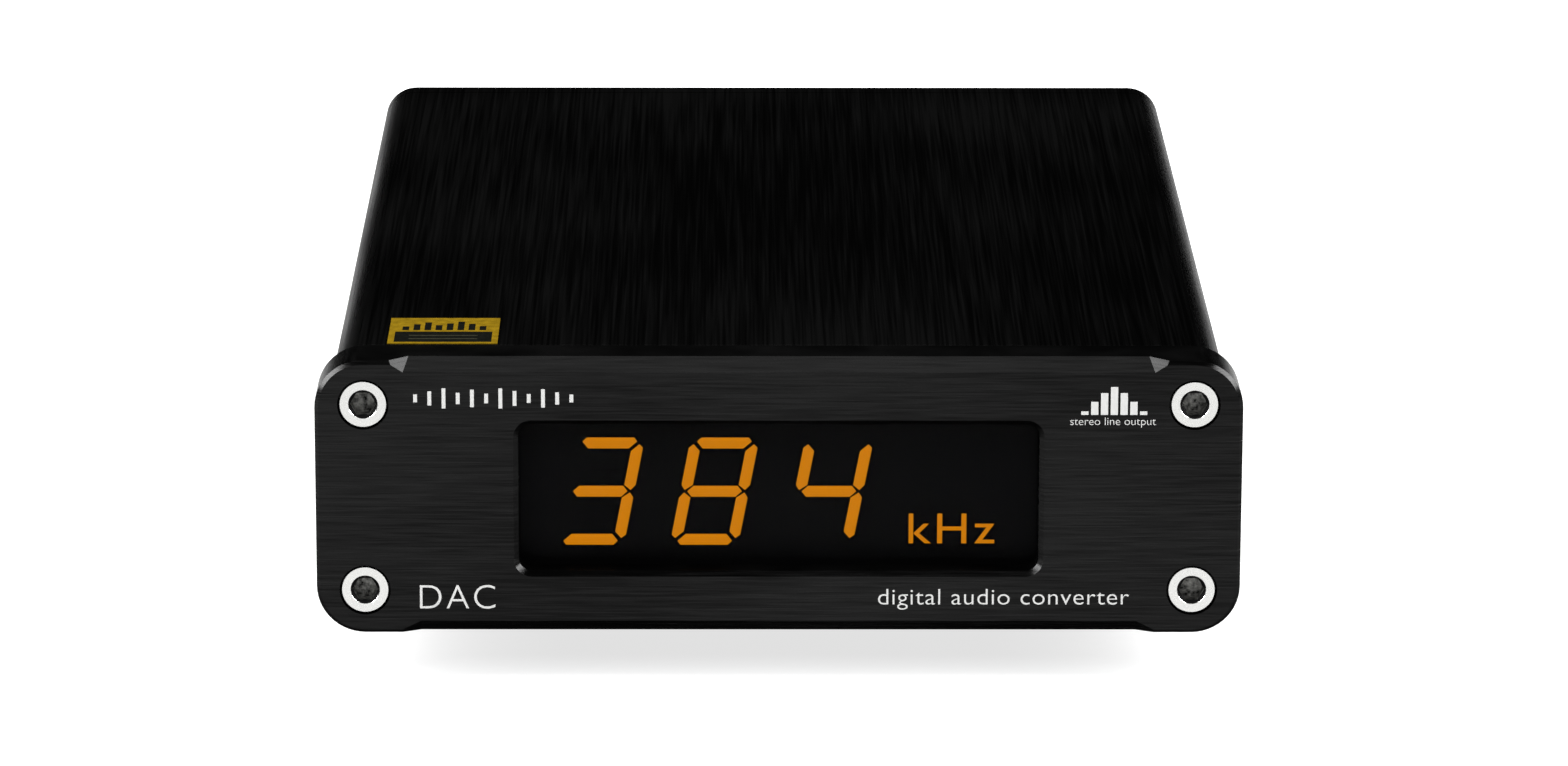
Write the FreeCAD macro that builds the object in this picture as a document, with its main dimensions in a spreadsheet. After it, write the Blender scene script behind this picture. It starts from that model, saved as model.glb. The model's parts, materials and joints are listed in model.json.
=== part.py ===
import FreeCAD, Part
import math
import os
import re

import Sketcher

# A half-width desktop digital-to-analogue converter, in millimetres.
# X is the width, +Y points to the rear, +Z is up. The front face looks along -Y. The origin is on the
# table under the middle of the device.

SIZES = {
    # outside
    "overall_depth": 146.0,
    "panel_width": 103.0,
    "panel_height": 31.4,
    "panel_thickness": 7.0,
    "panel_corner": 5.4,
    "panel_edge": 0.42,
    "relief_depth": 2.3,
    "relief_drop": 1.27,
    "relief_reach_front": 41.65,
    "relief_reach_rear": 41.1,
    "relief_flare": 1.57,
    "under_relief": 1.44,
    "under_relief_reach": 39.9,
    "under_relief_flare": 2.0,
    "cut_margin": 1.0,
    "foot_height": 5.2,
    "foot_pad": 0.4,
    "foot_radius": 5.0,
    "foot_reach_x": 38.0,
    "foot_front_y": -48.5,
    "foot_rear_y": 46.0,
    "foot_taper": 0.4,
    "foot_dimple": 2.0,
    "foot_pad_inset": 0.5,
    # case
    "shell_width": 99.6,
    "shell_length": 128.0,
    "shell_corner": 4.0,
    "shell_side": 2.0,
    "shell_floor": 1.8,
    "shell_edge": 0.3,
    "rear_thickness": 3.0,
    "rear_edge": 0.2,
    # screws
    "screw_reach_x": 46.1,
    "screw_reach_z": 10.7,
    "screw_shank": 1.5,
    "screw_head": 2.57,
    "screw_head_height": 3.0,
    "screw_sink": 0.2,
    "screw_length": 12.0,
    "screw_socket": 2.5,
    "socket_depth": 1.9,
    "socket_mouth": 1.65,
    "socket_mouth_depth": 0.4,
    "sunk_head": 3.0,
    "sunk_head_height": 1.5,
    "sunk_drop": 0.3,
    "sunk_length": 9.5,
    "sunk_socket": 2.0,
    "sunk_socket_depth": 1.1,
    "countersink": 3.4,
    "countersink_depth": 2.0,
    "bore_shell": 1.55,
    "bore_panel": 1.7,
    "counterbore": 2.85,
    "boss_radius": 3.4,
    # window and display
    "window_width": 57.9,
    "window_height": 16.95,
    "window_corner": 1.45,
    "window_bevel": 0.55,
    "window_rise": 15.6,
    "window_recess": 3.0,
    "lens_width": 62.6,
    "lens_height": 21.4,
    "lens_thickness": 2.0,
    "lens_corner": 1.6,
    "tape_thickness": 0.2,
    "tape_inset": 0.4,
    "lens_gap": 0.15,
    "display_width": 60.0,
    "display_height": 19.0,
    "display_depth": 7.0,
    "display_gap": 0.2,
    "digit_left": -19.96,
    "digit_pitch": 12.8,
    "digit_rise": 14.94,
    "digit_half_width": 3.2,
    "digit_half_height": 5.6,
    "digit_slant": 10.8,
    "segment_thickness": 1.27,
    "segment_tip_shift": 0.17,
    "segment_inset_small": 0.4,
    "segment_inset_large": 0.78,
    "segment_gap": 0.15,
    "segment_depth": 0.4,
    "display_board_width": 61.0,
    "display_board_height": 20.4,
    "legend_left_x": 13.6,
    "legend_right_x": 26.0,
    "legend_low": 8.4,
    "legend_high": 12.8,
    "legend_depth": 1.0,
    "driver_width": 10.0,
    "driver_depth": 1.5,
    "driver_height": 6.0,
    "header_width": 21.0,
    "header_depth": 2.5,
    "header_pitch": 2.54,
    "header_pin": 0.64,
    "header_pin_rise": 0.9,
    # boards
    "board_thickness": 1.6,
    "board_rise": 8.3,
    "board_width": 94.6,
    "board_front_y": -56.5,
    "board_rear_y": 61.0,
    "slot_height": 1.8,
    "slot_depth_x": 47.5,
    "rib_inner_x": 45.6,
    "rib_thickness": 1.0,
    "slot_inner_x": 43.1,
    "pin_radius": 0.45,
    "pin_hole": 0.6,
    "pin_reach": 1.5,
    # phono sockets
    "phono_left_x": 37.5,
    "phono_right_x": 22.5,
    "phono_coax_x": 6.5,
    "phono_rise": 8.1,
    "sleeve_radius": 4.15,
    "sleeve_wall": 0.7,
    "sleeve_collar": 4.9,
    "sleeve_collar_depth": 0.8,
    "sleeve_root": 4.0,
    "sleeve_tip": 0.3,
    "centre_bore": 1.6,
    "centre_tube": 2.0,
    "socket_body_width": 10.0,
    "socket_body_height": 13.1,
    "socket_body_depth": 11.5,
    "socket_body_gap": 0.3,
    # usb port
    "usb_x": -29.5,
    "usb_width": 12.0,
    "usb_height": 11.1,
    "usb_depth": 16.0,
    "usb_wall": 0.4,
    "usb_plug_width": 8.45,
    "usb_plug_height": 7.78,
    "usb_plug_depth": 8.9,
    "usb_plug_corner": 1.6,
    "usb_tongue_width": 5.6,
    "usb_tongue_height": 3.2,
    "usb_face_drop": 0.4,
    "usb_tongue_drop": 0.6,
    "usb_strip_width": 1.0,
    "usb_strip_thickness": 0.2,
    "usb_strip_reach": 1.25,
    # optical port
    "optical_x": -10.5,
    "optical_width": 9.9,
    "optical_height": 10.2,
    "optical_depth": 13.5,
    "optical_wall": 0.7,
    "optical_floor": 0.9,
    "optical_lip": 0.4,
    "optical_back": 3.4,
    "optical_roof": 0.8,
    "optical_mouth_width": 7.8,
    "optical_sill": 1.6,
    "optical_lens_rise": 5.0,
    "optical_lens": 1.3,
    "optical_lens_hole": 1.6,
    "receiver_width": 8.0,
    "receiver_depth": 3.0,
    "door_half_width": 4.0,
    "door_thickness": 0.8,
    "door_length": 7.2,
    "door_axis_drop": 1.8,
    "door_axis_back": 1.3,
    "door_notch_x": 2.0,
    "door_notch_width": 1.6,
    "door_notch_drop": 1.0,
    "trunnion_reach": 4.7,
    "trunnion_hole": 0.45,
    "spring_wire": 0.1,
    "spring_coil": 0.62,
    "spring_pitch": 0.28,
    "spring_turns": 3,
    "port_reach": 1.0,
    "port_gap": 0.3,
    # label
    "label_left_x": -43.7,
    "label_right_x": -31.4,
    "label_front": 0.4,
    "label_rear": 11.7,
    "label_thickness": 0.1,
}

# Heights and depths that follow from the sizes above, as expressions on them.
DERIVED = {
    "front_y": "-overall_depth / 2",
    "panel_rear_y": "front_y + panel_thickness",
    "shell_rear_y": "panel_rear_y + shell_length",
    "rear_face_y": "shell_rear_y + rear_thickness",
    "bottom_z": "foot_height + foot_pad",
    "middle_z": "bottom_z + panel_height / 2",
    "top_z": "bottom_z + panel_height",
    "window_z": "bottom_z + window_rise",
    "board_z": "bottom_z + board_rise",
    "deck_z": "board_z + board_thickness",
    "phono_z": "deck_z + phono_rise",
    "port_y": "rear_face_y + port_reach",
    "lens_front_y": "front_y + window_recess + tape_thickness",
    "display_y": "lens_front_y + lens_thickness + display_gap",
    "display_board_y": "display_y + display_depth",
    "digit_z": "bottom_z + digit_rise",
    "door_axis_y": "port_y - door_axis_back",
    "door_axis_z": "deck_z + optical_height - door_axis_drop",
}

# The chips, cans and blocks on the main board: (x, y) of each one's middle, then its size.
USB_CHIP = (-24.0, 16.0, 12.0, 12.0, 1.4)
DAC_CHIP = (14.0, 8.0, 10.2, 5.3, 1.8)
FLASH_CHIP = (-24.0, 0.0, 5.2, 5.2, 1.8)
AMP_SOCKET = (30.0, 28.0, 10.2, 8.6, 4.2)
AMP_SIZE = (9.6, 6.4, 3.4)
CRYSTAL_SIZE = (7.0, 5.0, 1.6)
CRYSTAL_PLACES = ((-4.0, 4.0), (-4.0, 14.0))
CAN_PLACES = ((38, -40), (24, -40), (38, -26), (24, -26), (38, -10), (38, 6))
CAN_BASE = 10.3
CAN_BASE_HEIGHT = 1.2
CAN_RADIUS = 5.0
CAN_HEIGHT = 9.5
FILM_SIZE = (7.2, 3.0, 7.5)
FILM_PLACES = ((14, 26), (14, 32), (14, 38), (30, 38), (30, 44))
COIL_SIZE = (10.0, 10.0, 5.0)
COIL_PLACES = ((-36, -40), (-22, -40))
REGULATOR_SIZE = (6.5, 6.8, 1.7)
REGULATOR_PLACES = ((-36, -28), (-22, -28), (-8, -28))
CHIP_PITCH = 4.0
RESISTOR_SIZE = (2.0, 1.25, 0.5)
RESISTOR_CORNER = (-38.0, -16.0)
CHIP_CAPACITOR_SIZE = (2.0, 1.25, 0.9)
CHIP_CAPACITOR_CORNER = (4.0, -12.0)
LEAD_LENGTH = 1.0
LEAD_HEIGHT = 0.5

# The digits that are lit, by the usual letters of a seven-segment display.
LIT = ("abcdg", "abcdefg", "bcfg")
ALL_SEGMENTS = "abcdefg"

DOC = FreeCAD.newDocument("desktop_dac")
NODES = []


def build_sheet():
    """The spreadsheet of driving dimensions, one alias a row, then the derived ones as formulas."""
    sheet = DOC.addObject("Spreadsheet::Sheet", "sizes")
    rows = list(SIZES.items()) + [(word, "=" + text) for word, text in DERIVED.items()]
    for row, (word, value) in enumerate(rows, start=1):
        sheet.set("A%d" % row, word)
        sheet.set("B%d" % row, str(value))
        sheet.setAlias("B%d" % row, word)
    DOC.recompute()
    return sheet


SHEET = build_sheet()
WORD = re.compile(r"[a-z]\w*")


def link(expression):
    """An expression that names the sheet's aliases, ready for setExpression."""
    def qualify(match):
        word = match.group()
        return "sizes." + word if word in SIZES or word in DERIVED else word

    return WORD.sub(qualify, str(expression))


def number(expression):
    """The present value of an expression in the sheet's aliases."""
    value = SHEET.evalExpression(link(expression))
    return float(getattr(value, "Value", value))


def term(*parts):
    """A sum of expressions."""
    return " + ".join("(%s)" % part for part in parts)


def node(label, item):
    """Names a finished sub-part and puts it in the list to export."""
    item.Label = label
    NODES.append(item)
    return item


# ---------------------------------------------------------------- plain solids

AXIS_TURN = {
    "x": FreeCAD.Rotation(FreeCAD.Vector(0, 1, 0), 90),
    "y": FreeCAD.Rotation(FreeCAD.Vector(1, 0, 0), -90),
    "z": FreeCAD.Rotation(),
}


def place(item, x, y, z, axis="z"):
    """Stands an object at a point given by expressions, its own Z turned along an axis."""
    item.Placement = FreeCAD.Placement(FreeCAD.Vector(), AXIS_TURN[axis])
    for letter, expression in zip("xyz", (x, y, z)):
        item.setExpression("Placement.Base." + letter, link(expression))
    return item


def box(name, x, y, z):
    """A block. Each of x, y and z is its (low, high) side."""
    item = DOC.addObject("Part::Box", name)
    for prop, (low, high) in zip(("Length", "Width", "Height"), (x, y, z)):
        item.setExpression(prop, link("(%s) - (%s)" % (high, low)))
    return place(item, x[0], y[0], z[0])


def around(middle, width):
    """The (low, high) sides of something centred on a place."""
    return "(%s) - (%s) / 2" % (middle, width), "(%s) + (%s) / 2" % (middle, width)


def rod(name, axis, start, length, radius):
    """A cylinder from a start point (x, y, z) along an axis."""
    item = DOC.addObject("Part::Cylinder", name)
    item.setExpression("Radius", link(radius))
    item.setExpression("Height", link(length))
    return place(item, *start, axis=axis)


def cone(name, axis, start, length, radius, far_radius):
    """A cone from a start point (x, y, z) along an axis, from one radius to another."""
    item = DOC.addObject("Part::Cone", name)
    item.setExpression("Radius1", link(radius))
    item.setExpression("Radius2", link(far_radius))
    item.setExpression("Height", link(length))
    return place(item, *start, axis=axis)


def hexagon(name, axis, start, length, across):
    """A six-sided prism from a start point along an axis, by its width across flats."""
    item = DOC.addObject("Part::Prism", name)
    item.Polygon = 6
    item.setExpression("Circumradius", link("%s / sqrt(3)" % across))
    item.setExpression("Height", link(length))
    return place(item, *start, axis=axis)


def cut(name, base, *tools):
    """One solid less others."""
    item = DOC.addObject("Part::Cut", name)
    item.Base = base
    item.Tool = tools[0] if len(tools) == 1 else join(name + "_tools", *tools)
    return item


def join(name, *solids):
    """Solids fused into one."""
    item = DOC.addObject("Part::MultiFuse", name)
    item.Shapes = list(solids)
    return item


def group(name, *solids):
    """Separate solids that share one node."""
    item = DOC.addObject("Part::Compound", name)
    item.Links = list(solids)
    return item


# ---------------------------------------------------------------- sketches and bodies

class Drawing:
    """A sketch whose points are held to expressions on the sheet.

    On XZ_Plane its u is X, its v is Z and its normal is -Y. On XY_Plane they are X, Y and +Z.
    """

    def __init__(self, owner, name, plane, offset="0"):
        self.sketch = owner.newObject("Sketcher::SketchObject", name)
        origin = [f for f in owner.Origin.OriginFeatures if f.Role == plane][0]
        self.sketch.AttachmentSupport = [(origin, "")]
        self.sketch.MapMode = "FlatFace"
        self.sketch.setExpression("AttachmentOffset.Base.z", link(offset))

    def hold(self, kind, where, expression):
        """A dimension bound to an expression."""
        value = number(expression)
        index = self.sketch.addConstraint(Sketcher.Constraint(kind, *where, value))
        self.sketch.setExpression("Constraints[%d]" % index, link(expression))

    def pin_down(self, geometry, point, u, v):
        """Holds one point of a curve at (u, v)."""
        self.hold("DistanceX", (-1, 1, geometry, point), u)
        self.hold("DistanceY", (-1, 1, geometry, point), v)

    def outline(self, points):
        """A closed outline of straight lines through (u, v) points."""
        corners = [FreeCAD.Vector(number(u), number(v), 0) for u, v in points]
        count = len(corners)
        lines = [
            self.sketch.addGeometry(Part.LineSegment(corners[i], corners[(i + 1) % count]))
            for i in range(count)
        ]
        for i in range(count):
            follower = lines[(i + 1) % count]
            self.sketch.addConstraint(Sketcher.Constraint("Coincident", lines[i], 2, follower, 1))
        for line, (u, v) in zip(lines, points):
            self.pin_down(line, 1, u, v)

    def rectangle(self, u, v):
        """A rectangle from its (low, high) sides."""
        self.outline([(u[0], v[0]), (u[1], v[0]), (u[1], v[1]), (u[0], v[1])])

    def circle(self, u, v, radius):
        middle = FreeCAD.Vector(number(u), number(v), 0)
        ring = Part.Circle(middle, FreeCAD.Vector(0, 0, 1), number(radius))
        curve = self.sketch.addGeometry(ring)
        self.pin_down(curve, 3, u, v)
        self.hold("Radius", (curve,), radius)

    def rounded(self, u, v, radius):
        """A rectangle from its (low, high) sides, its corners rounded to a radius."""
        sides = []
        arcs = []
        reach = number(radius)
        low_u, high_u, low_v, high_v = (number(e) for e in (*u, *v))
        inner = [(low_u + reach, low_v + reach), (high_u - reach, low_v + reach),
                 (high_u - reach, high_v - reach), (low_u + reach, high_v - reach)]
        names = [(term(u[0], radius), term(v[0], radius)), (less(u[1], radius), term(v[0], radius)),
                 (less(u[1], radius), less(v[1], radius)), (term(u[0], radius), less(v[1], radius))]
        for turn, (mid_u, mid_v) in enumerate(inner):
            middle = FreeCAD.Vector(mid_u, mid_v, 0)
            ring = Part.Circle(middle, FreeCAD.Vector(0, 0, 1), reach)
            start = math.pi * (1 + turn / 2)
            arc = Part.ArcOfCircle(ring, start, start + math.pi / 2)
            arcs.append(self.sketch.addGeometry(arc))
        for turn in range(4):
            ahead = (turn + 1) % 4
            start = self.sketch.getPoint(arcs[turn], 2)
            end = self.sketch.getPoint(arcs[ahead], 1)
            sides.append(self.sketch.addGeometry(Part.LineSegment(start, end)))
        for turn in range(4):
            ahead = (turn + 1) % 4
            self.sketch.addConstraint(Sketcher.Constraint("Tangent", arcs[turn], 2, sides[turn], 1))
            self.sketch.addConstraint(Sketcher.Constraint("Tangent", sides[turn], 2, arcs[ahead], 1))
        for side, kind in zip(sides, ("Horizontal", "Vertical") * 2):
            self.sketch.addConstraint(Sketcher.Constraint(kind, side))
        self.pin_down(arcs[0], 3, *names[0])
        self.pin_down(arcs[2], 3, *names[2])
        self.hold("Radius", (arcs[0],), radius)
        for arc in arcs[1:3]:
            self.sketch.addConstraint(Sketcher.Constraint("Equal", arcs[0], arc))


def less(whole, part):
    """A difference of expressions."""
    return "(%s) - (%s)" % (whole, part)


def body(name):
    return DOC.addObject("PartDesign::Body", name)


def pad(owner, drawing, length, reverse=False):
    """Adds a sketch's outline along its normal, or against it."""
    feature = owner.newObject("PartDesign::Pad", drawing.sketch.Name + "_pad")
    feature.Profile = drawing.sketch
    feature.setExpression("Length", link(length))
    feature.Reversed = reverse
    return feature


def pocket(owner, drawing, length=None, along=False):
    """Cuts a sketch's outline against its normal, or along it: to a depth, or right through."""
    feature = owner.newObject("PartDesign::Pocket", drawing.sketch.Name + "_pocket")
    feature.Profile = drawing.sketch
    feature.Reversed = along
    if length is None:
        feature.Type = 1
    else:
        feature.setExpression("Length", link(length))
    return feature


def edges_where(owner, test):
    """The names of a body's edges that pass a test on their bounding box."""
    DOC.recompute()
    return ["Edge%d" % (i + 1) for i, edge in enumerate(owner.Shape.Edges) if test(edge.BoundBox)]


def bevel(owner, test, size):
    """Chamfers the edges that pass a test."""
    names = edges_where(owner, test)
    tip = owner.Tip
    feature = owner.newObject("PartDesign::Chamfer", tip.Name + "_bevel")
    feature.Base = (tip, names)
    feature.setExpression("Size", link(size))
    return feature


def flat_at_y(expression):
    """A test for edges that lie in the plane at a given y."""
    level = number(expression)
    return lambda b: abs(b.YMin - level) < 1e-4 and abs(b.YMax - level) < 1e-4


def screw_places():
    """The four corner screws, as (x, z) expressions."""
    return [(term("%+d * screw_reach_x" % a), term("middle_z", "%+d * screw_reach_z" % b))
            for a in (-1, 1) for b in (-1, 1)]


def foot_places():
    """The four feet, as (x, y) expressions."""
    return [("%+d * foot_reach_x" % side, y) for side in (-1, 1) for y in ("foot_front_y", "foot_rear_y")]


# ---------------------------------------------------------------- case

def case_shell():
    """The extruded case: a rounded tube with a screw channel in each corner and a slot each side."""
    shell = body("shell_body")
    section = Drawing(shell, "shell_outside", "XZ_Plane", "-(panel_rear_y)")
    section.rounded(around(0, "shell_width"), ("bottom_z", "top_z"), "shell_corner")
    pad(shell, section, "shell_length", reverse=True)
    cavity = Drawing(shell, "shell_cavity", "XZ_Plane", "-(panel_rear_y)")
    cavity.rounded(around(0, "shell_width - 2 * shell_side"),
                   ("bottom_z + shell_floor", "top_z - shell_floor"), "shell_side")
    pocket(shell, cavity)
    ribs = Drawing(shell, "shell_ribs", "XZ_Plane", "-(panel_rear_y)")
    wall = "shell_width / 2 - shell_side / 2"
    for low, high in (("-(%s)" % wall, "-rib_inner_x"), ("rib_inner_x", wall)):
        ribs.rectangle((low, high), ("board_z - rib_thickness", "board_z + slot_height + rib_thickness"))
    pad(shell, ribs, "shell_length", reverse=True)
    bosses = Drawing(shell, "shell_bosses", "XZ_Plane", "-(panel_rear_y)")
    for x, z in screw_places():
        bosses.circle(x, z, "boss_radius")
    pad(shell, bosses, "shell_length", reverse=True)
    channels = Drawing(shell, "shell_channels", "XZ_Plane", "-(panel_rear_y)")
    for x, z in screw_places():
        channels.circle(x, z, "bore_shell")
    for side in (("-slot_depth_x", "-slot_inner_x"), ("slot_inner_x", "slot_depth_x")):
        channels.rectangle(side, ("board_z", "board_z + slot_height"))
    pocket(shell, channels)
    half = number("shell_width / 2")
    high = number("top_z")
    low = number("bottom_z")
    ends = [flat_at_y("panel_rear_y"), flat_at_y("shell_rear_y")]

    def outer(b):
        return any(end(b) for end in ends) and (
            max(abs(b.XMin), abs(b.XMax)) > half - 1e-3 or b.ZMax > high - 1e-3 or b.ZMin < low + 1e-3)

    bevel(shell, outer, "shell_edge")
    return node("case_shell", shell)


def relief(panel, name, front, rear, rear_y):
    """Lofts a cut from a section on the front face to one further back."""
    first = Drawing(panel, name + "_front", "XZ_Plane", "-(front_y)")
    first.outline(front)
    last = Drawing(panel, name + "_rear", "XZ_Plane", "-(%s)" % rear_y)
    last.outline(rear)
    loft = panel.newObject("PartDesign::SubtractiveLoft", name)
    loft.Profile = first.sketch
    loft.Sections = [last.sketch]
    loft.Ruled = True
    return loft


def mirrored(half):
    """An outline from its right half, given from the bottom up."""
    return [("-(%s)" % x, z) for x, z in half] + [(x, z) for x, z in reversed(half)]


def front_panel():
    """The thick front plate: bevelled window, lens seat behind, counterbores and two relief chamfers."""
    panel = body("panel_body")
    outline = Drawing(panel, "panel_outline", "XZ_Plane", "-(front_y)")
    outline.rounded(around(0, "panel_width"), ("bottom_z", "top_z"), "panel_corner")
    pad(panel, outline, "panel_thickness", reverse=True)
    bevel(panel, flat_at_y("front_y"), "panel_edge")
    window = Drawing(panel, "panel_window", "XZ_Plane", "-(front_y)")
    window.rounded(around(0, "window_width"), around("window_z", "window_height"), "window_corner")
    pocket(panel, window)
    front = flat_at_y("front_y")
    reach = number("window_width / 2")
    roof = number("window_z + window_height / 2")
    floor = number("window_z - window_height / 2")

    def window_rim(b):
        inside = b.XMax < reach + 1e-3 and b.XMin > -reach - 1e-3
        return front(b) and inside and b.ZMax < roof + 1e-3 and b.ZMin > floor - 1e-3

    bevel(panel, window_rim, "window_bevel")
    seat = Drawing(panel, "panel_seat", "XZ_Plane", "-(front_y + window_recess)")
    seat.rounded(around(0, "lens_width + 2 * lens_gap"),
                 around("window_z", "lens_height + 2 * lens_gap"), "lens_corner")
    pocket(panel, seat)
    above = "top_z + cut_margin"
    top_front = [("relief_reach_front", "top_z - relief_drop"),
                 ("relief_reach_front + relief_flare * (relief_drop + cut_margin)", above)]
    top_rear = [("relief_reach_rear", "top_z"),
                ("relief_reach_rear + relief_flare * cut_margin", above)]
    relief(panel, "panel_top_relief", mirrored(top_front), mirrored(top_rear), "front_y + relief_depth")
    below = "bottom_z - cut_margin"
    low_front = [("under_relief_reach + under_relief_flare * (under_relief + cut_margin)", below),
                 ("under_relief_reach", "bottom_z + under_relief")]
    low_rear = [("under_relief_reach + under_relief_flare * cut_margin", below),
                ("under_relief_reach", "bottom_z")]
    relief(panel, "panel_low_relief", mirrored(low_front), mirrored(low_rear), "front_y + under_relief")
    places = Drawing(panel, "panel_screw_places", "XZ_Plane", "-(front_y)")
    for x, z in screw_places():
        places.circle(x, z, "bore_panel")
    DOC.recompute()
    holes = panel.newObject("PartDesign::Hole", "panel_holes")
    holes.Profile = places.sketch
    DOC.recompute()
    holes.DepthType = "ThroughAll"
    holes.setExpression("Diameter", link("2 * bore_panel"))
    holes.HoleCutType = "Counterbore"
    holes.HoleCutCustomValues = True
    holes.setExpression("HoleCutDiameter", link("2 * counterbore"))
    holes.setExpression("HoleCutDepth", link("screw_head_height + screw_sink"))
    return node("front_panel", panel)


def rear_panel():
    """The rear plate, with countersunk screw holes and an opening for each port."""
    panel = body("rear_body")
    outline = Drawing(panel, "rear_outline", "XZ_Plane", "-(rear_face_y)")
    outline.rounded(around(0, "shell_width"), ("bottom_z", "top_z"), "shell_corner")
    pad(panel, outline, "rear_thickness")
    ports = Drawing(panel, "rear_ports", "XZ_Plane", "-(rear_face_y)")
    for x in ("phono_left_x", "phono_right_x", "phono_coax_x"):
        ports.circle(x, "phono_z", "sleeve_radius + port_gap")
    for x, width, height in (("usb_x", "usb_width", "usb_height"),
                             ("optical_x", "optical_width", "optical_height")):
        ports.rectangle(around(x, width + " + 2 * port_gap"),
                        ("deck_z - port_gap", "deck_z + %s + port_gap" % height))
    pocket(panel, ports, along=True)
    bevel(panel, flat_at_y("rear_face_y"), "rear_edge")
    cone_tools = []
    for index, (x, z) in enumerate(screw_places()):
        sink = cone("rear_sink_%d" % index, "y", (x, "rear_face_y - countersink_depth", z),
                    "countersink_depth", "countersink - countersink_depth", "countersink")
        hole = rod("rear_hole_%d" % index, "y", (x, "shell_rear_y - cut_margin", z),
                   "rear_thickness + 2 * cut_margin", "bore_panel")
        cone_tools += [sink, hole]
    return node("rear_panel", cut("rear_plate", panel, *cone_tools))


def cap_screw(name, x, z):
    """An M3 cap screw along +Y with a countersunk hexagon socket, its head at the front."""
    top = "front_y + screw_sink"
    head = rod(name + "_head", "y", (x, top, z), "screw_head_height", "screw_head")
    shank = rod(name + "_shank", "y", (x, top + " + screw_head_height", z), "screw_length", "screw_shank")
    socket = hexagon(name + "_socket", "y", (x, top, z), "socket_depth", "screw_socket")
    mouth = cone(name + "_mouth", "y", (x, top, z), "socket_mouth_depth", "socket_mouth",
                 "socket_mouth - socket_mouth_depth")
    return cut(name, join(name + "_blank", head, shank), socket, mouth)


def sunk_screw(name, x, z):
    """An M3 countersunk screw along -Y in the rear panel, with a hexagon socket."""
    top = "rear_face_y - sunk_drop"
    head = cone(name + "_head", "y", (x, top + " - sunk_head_height", z), "sunk_head_height",
                "sunk_head - sunk_head_height", "sunk_head")
    shank = rod(name + "_shank", "y", (x, top + " - sunk_length", z), "sunk_length - sunk_head_height",
                "screw_shank")
    socket = hexagon(name + "_socket", "y", (x, top + " - sunk_socket_depth", z),
                     "sunk_socket_depth + cut_margin", "sunk_socket")
    return cut(name, join(name + "_blank", head, shank), socket)


def screws():
    fronts = [cap_screw("front_screw_%d" % i, x, z) for i, (x, z) in enumerate(screw_places())]
    rears = [sunk_screw("rear_screw_%d" % i, x, z) for i, (x, z) in enumerate(screw_places())]
    node("front_panel_screws", group("front_screws", *fronts))
    node("rear_panel_screws", group("rear_screws", *rears))


def feet():
    """Four turned rubber feet, each held to the case by an adhesive pad."""
    rubbers = []
    pads = []
    for index, (x, y) in enumerate(foot_places()):
        foot = cone("foot_%d" % index, "z", (x, y, "0"), "foot_height", "foot_radius - foot_taper",
                    "foot_radius")
        dimple = rod("foot_dimple_%d" % index, "z", (x, y, "-cut_margin"), "2 * cut_margin", "foot_dimple")
        rubbers.append(cut("foot_rubber_%d" % index, foot, dimple))
        pads.append(rod("foot_pad_%d" % index, "z", (x, y, "foot_height"), "foot_pad",
                        "foot_radius - foot_pad_inset"))
    node("rubber_feet", group("feet_rubber", *rubbers))
    node("foot_adhesive_pads", group("feet_pads", *pads))


# ---------------------------------------------------------------- window and display

def window_parts():
    """The smoked window and the tape frame that holds it against its seat."""
    lens = body("lens_body")
    outline = Drawing(lens, "lens_outline", "XZ_Plane", "-(lens_front_y)")
    outline.rounded(around(0, "lens_width"), around("window_z", "lens_height"), "lens_corner - lens_gap")
    pad(lens, outline, "lens_thickness", reverse=True)
    node("display_window", lens)
    tape = body("tape_body")
    frame = Drawing(tape, "tape_outline", "XZ_Plane", "-(front_y + window_recess)")
    frame.rounded(around(0, "lens_width"), around("window_z", "lens_height"), "lens_corner - lens_gap")
    frame.rounded(around(0, "window_width + 2 * tape_inset"),
                  around("window_z", "window_height + 2 * tape_inset"), "window_corner + tape_inset")
    pad(tape, frame, "tape_thickness", reverse=True)
    node("window_tape_frame", tape)


def segment_points(letter):
    """One display segment's corners, as (u, v) from the digit's centre, upright.

    Each is a bar with pointed ends. The points lean towards the outside of the digit.
    """
    half = "segment_thickness / 2"
    tip = "digit_half_width - segment_gap"
    middle = "(segment_inset_small + segment_inset_large) / 2"
    if letter in "agd":
        lean = {"a": 1, "g": 0, "d": -1}[letter]
        level = "%d * digit_half_height" % lean
        point = "%s + %d * segment_tip_shift" % (level, lean)
        upper = {"a": "segment_inset_small", "g": middle, "d": "segment_inset_large"}[letter]
        lower = {"a": "segment_inset_large", "g": middle, "d": "segment_inset_small"}[letter]
        return [("-(%s)" % tip, point), ("-(%s - %s)" % (tip, lower), "%s - %s" % (level, half)),
                ("%s - %s" % (tip, lower), "%s - %s" % (level, half)), (tip, point),
                ("%s - %s" % (tip, upper), "%s + %s" % (level, half)),
                ("-(%s - %s)" % (tip, upper), "%s + %s" % (level, half))]
    out = 1 if letter in "bc" else -1
    up = 1 if letter in "bf" else -1
    line = "%d * digit_half_width" % out
    outer = "%s + %d * %s" % (line, out, half)
    inner = "%s - %d * %s" % (line, out, half)
    point = "%s + %d * segment_tip_shift" % (line, out)
    far = "digit_half_height - segment_gap"
    levels = ["segment_gap", "segment_gap + " + middle, far + " - segment_inset_small", far,
              far + " - segment_inset_large", "segment_gap + " + middle]
    sides = [point, outer, outer, point, inner, inner]
    return [(side, "%d * (%s)" % (up, level)) for side, level in zip(sides, levels)]


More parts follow.
